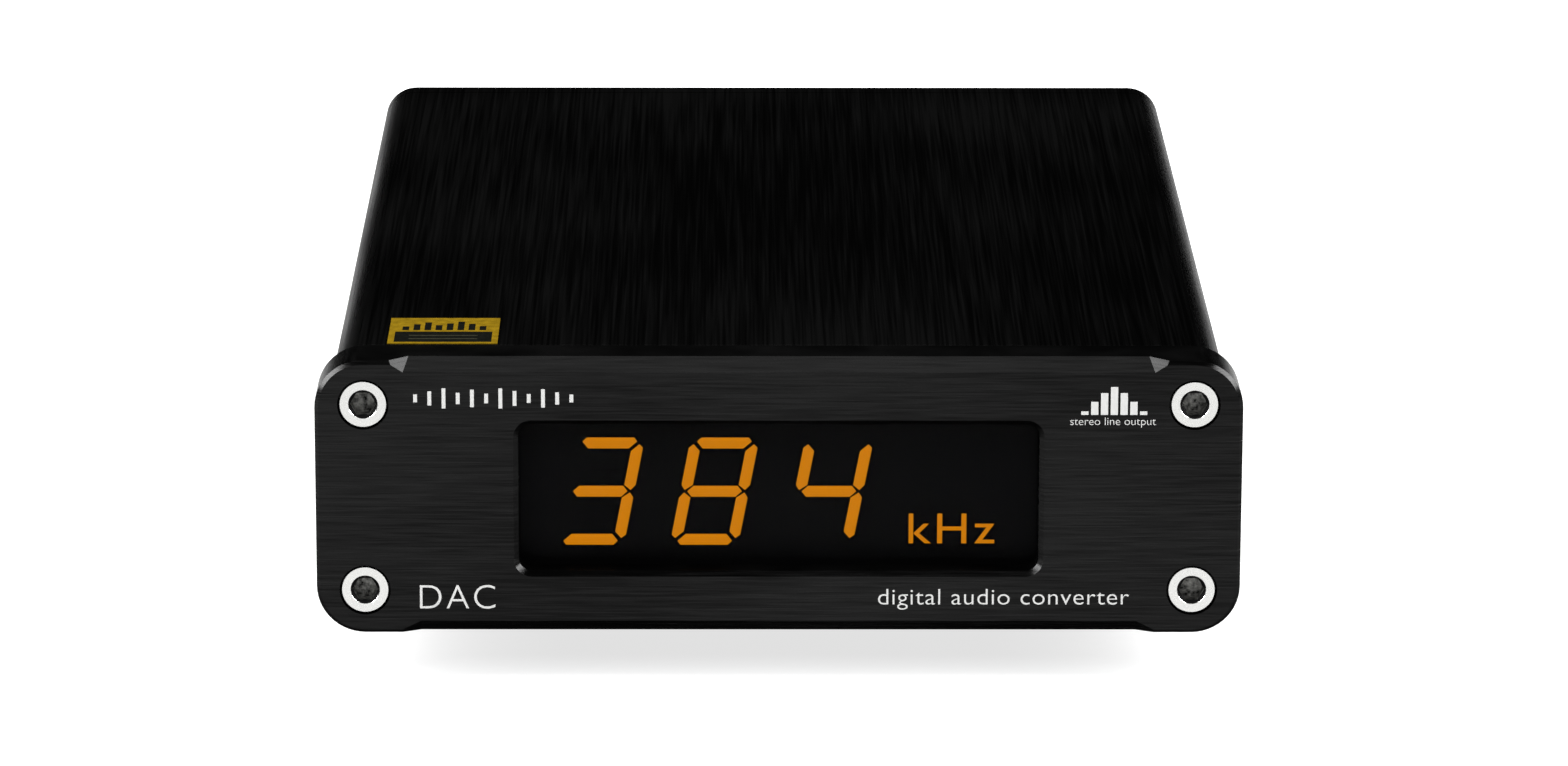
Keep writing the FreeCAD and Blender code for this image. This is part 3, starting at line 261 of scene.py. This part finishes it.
def build_materials():
    """Every material, by the record's slot."""
    made = {
        "front_anodised": brushed_black("face_brushed", (7, 7, 0.17), (0.0075,) * 3, (0.0165,) * 3,
                                        (0.18, 0.28)),
        "black_anodised": brushed_black("case_brushed", (0.35, 30, 0.35), (0.004,) * 3, (0.013,) * 3,
                                        (0.24, 0.34)),
        "nickel_screw": screw_finish(),
        "foot_rubber": surface("foot_rubber", (0.018, 0.018, 0.018), 0.75, pitch=(0.5, 0.5, 0.5),
                               rough_spread=0.1, relief=0.03),
        "adhesive_foam": surface("adhesive_foam", (0.02, 0.02, 0.02), 0.8, relief=0.03),
        "display_resin": surface("display_resin", (0.003, 0.003, 0.0032), 0.5, specular=0.1, relief=0.004),
        "unlit_diffuser": surface("unlit_diffuser", (0.0045, 0.0043, 0.0042), 0.5, specular=0.1,
                                  relief=0.003),
        "chip_resin": surface("chip_resin", (0.02, 0.02, 0.021), 0.55, pitch=(0.2, 0.2, 0.2), relief=0.01),
        "board_green": surface("board_mask", (0.01, 0.11, 0.045), 0.32, pitch=(2.5, 2.5, 2.5), shade=0.3,
                               relief=0.02),
        "black_plastic": surface("black_plastic", (0.014, 0.014, 0.015), 0.42, pitch=(0.3, 0.3, 0.3),
                                 relief=0.008),
        "white_plastic": surface("white_plastic", (0.78, 0.77, 0.74), 0.33, pitch=(1.5, 1.5, 1.5),
                                 shade=0.04, relief=0.006),
        "red_plastic": surface("red_plastic", (0.52, 0.02, 0.015), 0.33, pitch=(1.5, 1.5, 1.5), relief=0.006),
        "orange_plastic": surface("orange_plastic", (0.8, 0.24, 0.02), 0.33, pitch=(1.5, 1.5, 1.5),
                                  shade=0.07, relief=0.006),
        "nickel_shell": surface("nickel_sheet", (0.7, 0.69, 0.67), 0.28, 1.0, pitch=(0.4, 6, 0.4),
                                shade=0.07, relief=0.004),
        "gold_contact": surface("gold_plate", (0.82, 0.58, 0.2), 0.2, 1.0, pitch=(0.8, 0.8, 0.8),
                                shade=0.08, relief=0.003),
        "spring_steel": surface("spring_wire", (0.55, 0.55, 0.55), 0.3, 1.0, pitch=(0.2, 0.2, 0.2)),
        "tinned_metal": surface("tinned_metal", (0.62, 0.62, 0.62), 0.38, 1.0, pitch=(0.3, 0.3, 0.3)),
        "capacitor_can": surface("capacitor_can", (0.5, 0.51, 0.53), 0.34, 1.0, pitch=(4, 4, 0.3)),
        "film_red": surface("film_red", (0.42, 0.04, 0.025), 0.3, pitch=(1.2, 1.2, 1.2)),
        "ferrite": surface("ferrite", (0.045, 0.045, 0.05), 0.7, pitch=(0.3, 0.3, 0.3), relief=0.02),
        "chip_ceramic": surface("chip_ceramic", (0.42, 0.29, 0.18), 0.6, pitch=(0.3, 0.3, 0.3)),
        "gold_foil": foil_finish(),
        "print_white": surface("print_white", (0.6, 0.6, 0.59), 0.6, pitch=(0.25, 0.25, 0.25),
                               shade=0.05, relief=0.003),
        "label_dim": surface("label_dim", (0.012, 0.012, 0.0065), 0.45, specular=0.15, pitch=(0.5, 0.5, 0.5),
                             relief=0.003),
        "label_black": surface("label_black", (0.0015, 0.0017, 0.001), 0.4, specular=0.12,
                               pitch=(0.5, 0.5, 0.5), relief=0.003),
        "lit_orange": lit_finish(),
        "smoked_lens": lens_finish(),
    }
    return {slot: finish.material for slot, finish in made.items()}


MATERIALS = build_materials()


def paint_frame():
    """Gives every CAD node the material of its own slot."""
    for row in frame["record"]["subparts"]:
        mesh = frame["nodes"][row["node"]].data
        mesh.materials.clear()
        mesh.materials.append(MATERIALS[row["material_slot"]])


# ------------------------------------------------------------ flat marks

class Face:
    """A flat face of the device: a place on it is u along right and v along up, in millimetres."""

    def __init__(self, origin, right, up):
        self.origin, self.right, self.up = Vector(origin), Vector(right), Vector(up)
        self.normal = self.right.cross(self.up)

    def point(self, u, v, lift=0.0):
        return self.origin + (self.right * u + self.up * v + self.normal * lift) * MM


def finish_piece(name, mesh, material, body=ROOT):
    """Makes a mesh a piece of the device."""
    piece = bpy.data.objects.new(name, mesh)
    bpy.context.scene.collection.objects.link(piece)
    mesh.materials.append(MATERIALS[material])
    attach(piece, body)
    return piece


def prism(face, build, outlines, sunk, proud):
    """Adds closed (u, v) outlines to a bmesh as thin solids from below the face to above it."""
    for outline in outlines:
        rings = []
        for lift in (-sunk, proud):
            rings.append([build.verts.new(face.point(u, v, lift)) for u, v in outline])
        low, high = rings
        build.faces.new(list(reversed(low)))
        build.faces.new(high)
        count = len(outline)
        for i in range(count):
            j = (i + 1) % count
            build.faces.new((low[i], low[j], high[j], high[i]))


def flat_mark(name, face, outlines, material, sunk=SUNK, proud=PROUD):
    """A printed mark made of closed outlines, each given anticlockwise."""
    build = bmesh.new()
    prism(face, build, outlines, sunk, proud)
    mesh = bpy.data.meshes.new(name)
    build.to_mesh(mesh)
    build.free()
    return finish_piece(name, mesh, material)


def bar(low_u, high_u, low_v, high_v):
    return [(low_u, low_v), (high_u, low_v), (high_u, high_v), (low_u, high_v)]


def lettering(name, face, text, box, material, spacing=1.0, proud=PROUD, weight=0.0):
    """Generic lettering fitted to (low u, low v, high u, high v) on a face."""
    curve = bpy.data.curves.new(name, "FONT")
    curve.body = text
    curve.space_character = spacing
    curve.resolution_u = 6
    curve.offset = weight
    curve.extrude = 0.01
    holder = bpy.data.objects.new(name + "_text", curve)
    bpy.context.scene.collection.objects.link(holder)
    bpy.context.view_layer.update()
    evaluated = holder.evaluated_get(bpy.context.evaluated_depsgraph_get())
    mesh = bpy.data.meshes.new_from_object(evaluated)
    bpy.data.objects.remove(holder)
    low = [min(v.co[i] for v in mesh.vertices) for i in range(3)]
    high = [max(v.co[i] for v in mesh.vertices) for i in range(3)]
    scale_u = (box[2] - box[0]) / (high[0] - low[0])
    scale_v = (box[3] - box[1]) / (high[1] - low[1])
    for vertex in mesh.vertices:
        u = box[0] + (vertex.co.x - low[0]) * scale_u
        v = box[1] + (vertex.co.y - low[1]) * scale_v
        lift = proud if vertex.co.z > 0 else -SUNK
        vertex.co = face.point(u, v, lift)
    build = bmesh.new()
    build.from_mesh(mesh)
    bmesh.ops.remove_doubles(build, verts=build.verts, dist=1e-7)
    bmesh.ops.recalc_face_normals(build, faces=build.faces)
    build.to_mesh(mesh)
    build.free()
    mesh.materials.clear()
    return finish_piece(name, mesh, material)


PANEL_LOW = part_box("front_panel")[0]
REAR_LOW, REAR_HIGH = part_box("rear_panel")
LABEL_LOW, LABEL_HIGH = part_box("top_label")
GUIDE_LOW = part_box("legend_light_guide")[0]
FRONT = Face((0, PANEL_LOW.y, PANEL_LOW.z), (1, 0, 0), (0, 0, 1))
REAR = Face((0, REAR_HIGH.y, REAR_LOW.z), (-1, 0, 0), (0, 0, 1))
LABEL = Face((LABEL_LOW.x, LABEL_LOW.y, LABEL_HIGH.z), (1, 0, 0), (0, 1, 0))
LEGEND = Face((0, GUIDE_LOW.y, PANEL_LOW.z), (1, 0, 0), (0, 0, 1))


def level_bars():
    """A row of upright bars of uneven height, at the plate's top left."""
    heights = (0.9, 1.6, 2.3, 1.3, 2.0, 1.1, 2.3, 1.7, 1.0, 2.1, 1.4, 0.9)
    left, right, middle, half_width = -40.3, -23.0, 27.15, 0.21
    step = (right - left) / (len(heights) - 1)
    bars = []
    for i, height in enumerate(heights):
        u = left + i * step
        bars.append(bar(u - half_width, u + half_width, middle - height / 2, middle + height / 2))
    flat_mark("print_level_bars", FRONT, bars, "print_white")


def stepped_wave():
    """A wave drawn as touching steps, at the plate's top right."""
    tops = (25.7, 26.8, 27.8, 28.5, 27.8, 26.8, 25.7)
    left, base, span, gap = 33.5, 25.3, 7.6, 0.28
    width = span / len(tops)
    steps = []
    for i, top in enumerate(tops):
        u = left + i * width
        steps.append(bar(u, u + width - gap, base, top))
    flat_mark("print_stepped_wave", FRONT, steps, "print_white")


def front_marks():
    """White print on the front: a row of level bars, a stepped wave, and generic words."""
    level_bars()
    stepped_wave()
    lettering("print_caption", FRONT, "stereo line output", (32.3, 23.85, 41.8, 25.0), "print_white",
              weight=-0.012)
    lettering("print_kind", FRONT, "DAC", (-40.0, 2.85, -31.6, 5.6), "print_white", spacing=1.12,
              weight=-0.014)
    lettering("print_words", FRONT, "digital audio converter", (11.1, 2.75, 39.1, 5.15),
              "print_white", spacing=1.05, weight=-0.008)


def legend():
    """The lit legend beside the digits."""
    lettering("legend_letters", LEGEND, "kHz", (14.6, 8.9, 24.2, 12.35), "lit_orange",
              spacing=1.15, proud=0.05)


def label_marks():
    """The foil label's printed field, bars and plain lines."""
    width = (LABEL_HIGH.x - LABEL_LOW.x) / MM
    depth = (LABEL_HIGH.y - LABEL_LOW.y) / MM
    border, field_share, bars_share = 0.7, 0.46, 0.52
    field = bar(border, width - border, border, depth * field_share)
    flat_mark("label_field", LABEL, [field], "label_black", sunk=LABEL_SUNK, proud=LABEL_PROUD)
    heights = (1.6, 2.6, 3.4, 2.2, 3.0, 3.8, 2.8, 1.8)
    inset, start, fill = 0.5, 0.2, 0.6
    step = (width - 2 * border - 2 * inset) / len(heights)
    base = depth * bars_share
    bars = []
    for i, height in enumerate(heights):
        u = border + inset + (i + start) * step
        bars.append(bar(u, u + step * fill, base, base + height))
    flat_mark("label_bars", LABEL, bars, "label_black", sunk=LABEL_SUNK, proud=LABEL_PROUD)
    margin, thickness = 1.6, 0.4
    low, high = border + margin, width - border - margin
    lines = [bar(low, high, v, v + thickness) for v in (1.9, 3.3)]
    flat_mark("label_lines", LABEL, lines, "label_dim", sunk=0.0, proud=2 * LABEL_PROUD)


# The rear's port names: the port's node, the text, half its width, and its foot above the port's axis.
PORT_NAMES = {
    "left": ("line_out_left_sleeve", "L", 0.8, 6.0),
    "right": ("line_out_right_sleeve", "R", 0.8, 6.0),
    "coax": ("coax_in_sleeve", "COAX", 2.8, 6.0),
    "optical": ("optical_port_housing", "OPTICAL", 4.2, 8.0),
    "usb": ("usb_port_shell", "USB", 2.1, 7.6),
}
PORT_NAME_HEIGHT = 1.7


def rear_marks():
    """Generic port names on the rear panel."""
    for name, (node, text, half, rise) in PORT_NAMES.items():
        low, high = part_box(node)
        u = -(low.x + high.x) / 2 / MM
        v = ((low.z + high.z) / 2 - REAR_LOW.z) / MM + rise
        lettering("rear_print_" + name, REAR, text, (u - half, v, u + half, v + PORT_NAME_HEIGHT),
                  "print_white", spacing=1.05)


# ------------------------------------------------------------ studio

def floor():
    """A pale floor with a faint grain. The camera alone sees part of its white, so shadows stay pale."""
    mesh = bpy.data.meshes.new("floor")
    size = FLOOR_SIZE
    mesh.from_pydata([(-size, -size, 0), (size, -size, 0), (size, size, 0), (-size, size, 0)], [],
                     [(0, 1, 2, 3)])
    ground = bpy.data.objects.new("floor", mesh)
    bpy.context.scene.collection.objects.link(ground)
    finish = surface("floor_white", (FLOOR_GREY,) * 3, 0.7, specular=0.2, pitch=(30, 30, 30), shade=0.01,
                     relief=0.0)
    finish.shader.inputs["Emission Color"].default_value = (1, 1, 1, 1)
    seen = finish.add("ShaderNodeLightPath").outputs["Is Camera Ray"]
    finish.join(finish.math("MULTIPLY", seen, FLOOR_FILL), finish.shader.inputs["Emission Strength"])
    mesh.materials.append(finish.material)


def softbox(name, place, target, width, height, power):
    """An area light at a place, facing a target."""
    data = bpy.data.lights.new(name, "AREA")
    data.shape = "RECTANGLE"
    data.size, data.size_y, data.energy = width, height, power
    light = bpy.data.objects.new(name, data)
    light.visible_camera = False
    light.location = place
    light.rotation_euler = (Vector(target) - Vector(place)).to_track_quat("-Z", "Y").to_euler()
    bpy.context.scene.collection.objects.link(light)


def room():
    """A nearly dark room, white where the camera itself sees past the floor."""
    world = bpy.data.worlds.new("room")
    bpy.context.scene.world = world
    world.use_nodes = True
    tree = world.node_tree
    tree.nodes.clear()
    output = tree.nodes.new("ShaderNodeOutputWorld")
    seen = tree.nodes.new("ShaderNodeBackground")
    lit = tree.nodes.new("ShaderNodeBackground")
    seen.inputs["Color"].default_value = (1, 1, 1, 1)
    lit.inputs["Color"].default_value = (ROOM_GREY, ROOM_GREY, ROOM_GREY, 1)
    mix = tree.nodes.new("ShaderNodeMixShader")
    path = tree.nodes.new("ShaderNodeLightPath")
    tree.links.new(path.outputs["Is Camera Ray"], mix.inputs["Fac"])
    tree.links.new(lit.outputs["Background"], mix.inputs[1])
    tree.links.new(seen.outputs["Background"], mix.inputs[2])
    tree.links.new(mix.outputs["Shader"], output.inputs["Surface"])


def studio():
    """Soft boxes high in front and behind, upright ones at both sides, and one over each shoulder."""
    middle = (0, 0, 0.02)
    softbox("front_high", (0.0, -1.15, 1.1), middle, 1.6, 0.7, 11)
    softbox("back_high", (0.0, 0.4, 1.24), middle, 1.2, 0.3, 2.6)
    for side, x in (("left", -1), ("right", 1)):
        softbox("side_" + side, (x, -0.2, 0.68), middle, 0.3, 0.9, 32)
        softbox("shoulder_" + side, (0.78 * x, 0.34, 0.98), middle, 0.35, 0.35, 9)
    room()
    scene = bpy.context.scene
    scene.view_settings.view_transform = "Standard"
    scene.view_settings.look = "None"


def camera():
    """The camera stands in front and above, looking down at the face."""
    data = bpy.data.cameras.new("camera")
    data.sensor_width = SENSOR_WIDTH
    data.lens = LENS_LENGTH
    data.clip_start, data.clip_end = 0.01, 50.0
    eye = bpy.data.objects.new("camera", data)
    pitch, yaw, roll = (math.radians(angle) for angle in (PITCH, YAW, ROLL))
    turn = (Matrix.Rotation(yaw, 4, "Z") @ Matrix.Rotation(-pitch, 4, "X")
            @ Matrix.Rotation(roll, 4, "Y") @ Matrix.Rotation(math.pi / 2, 4, "X"))
    eye.matrix_world = Matrix.Translation(EYE) @ turn
    bpy.context.scene.collection.objects.link(eye)
    bpy.context.scene.camera = eye


paint_frame()
front_marks()
legend()
label_marks()
rear_marks()
floor()
studio()
camera()

bpy.context.view_layer.update()
